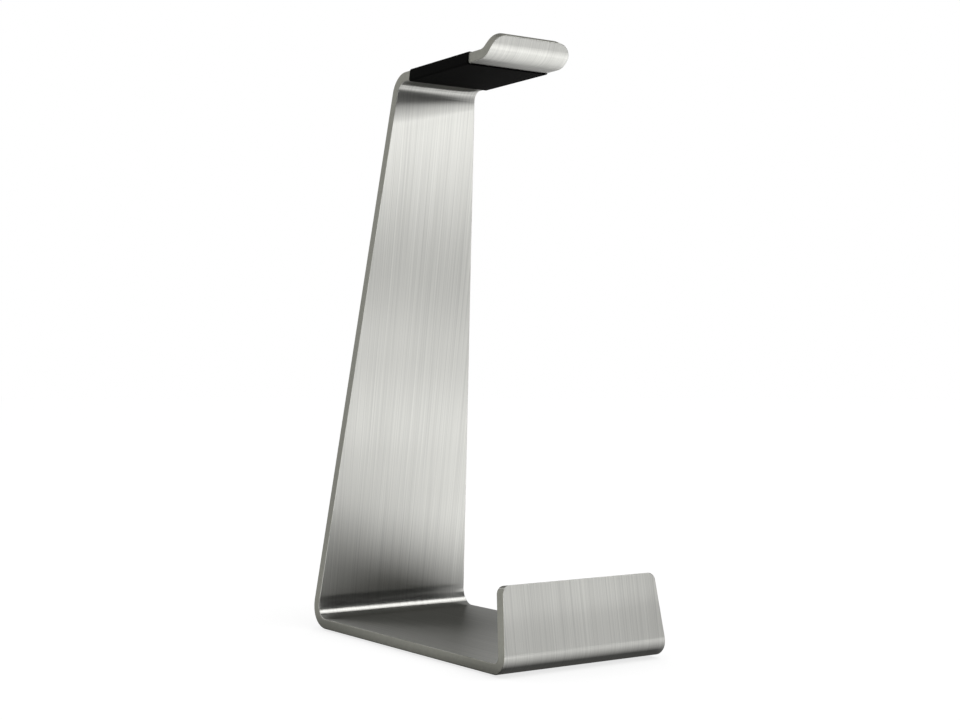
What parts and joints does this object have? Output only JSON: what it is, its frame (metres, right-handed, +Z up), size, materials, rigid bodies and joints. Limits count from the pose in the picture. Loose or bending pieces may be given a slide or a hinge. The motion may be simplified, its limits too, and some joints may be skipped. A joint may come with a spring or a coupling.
{
  "type": "headphone hook",
  "caption": "Free-standing headphone hook bent from one strip of brushed metal, with a rubber-sleeved arm, an upturned tip, a front lip and pads under its base.",
  "frame": {"origin": "under the middle of the overall box, on the surface that the pads stand on", "axes": "+Z up, -Y towards the front lip and the arm's upturned tip, +X across the strip to the right seen from the front"},
  "size_m": [0.0874, 0.1646, 0.2778],
  "materials": {
    "brushed_metal": "satin, fine brushing along the strip",
    "sleeve_rubber": "matte black",
    "pad_rubber": "matte black"
  },
  "bodies": {
    "root": {"stand_plate": "brushed_metal", "arm_sleeve": "sleeve_rubber", "foot_front_left": "pad_rubber", "foot_front_right": "pad_rubber", "foot_rear_left": "pad_rubber", "foot_rear_right": "pad_rubber"}
  },
  "joints": []
}
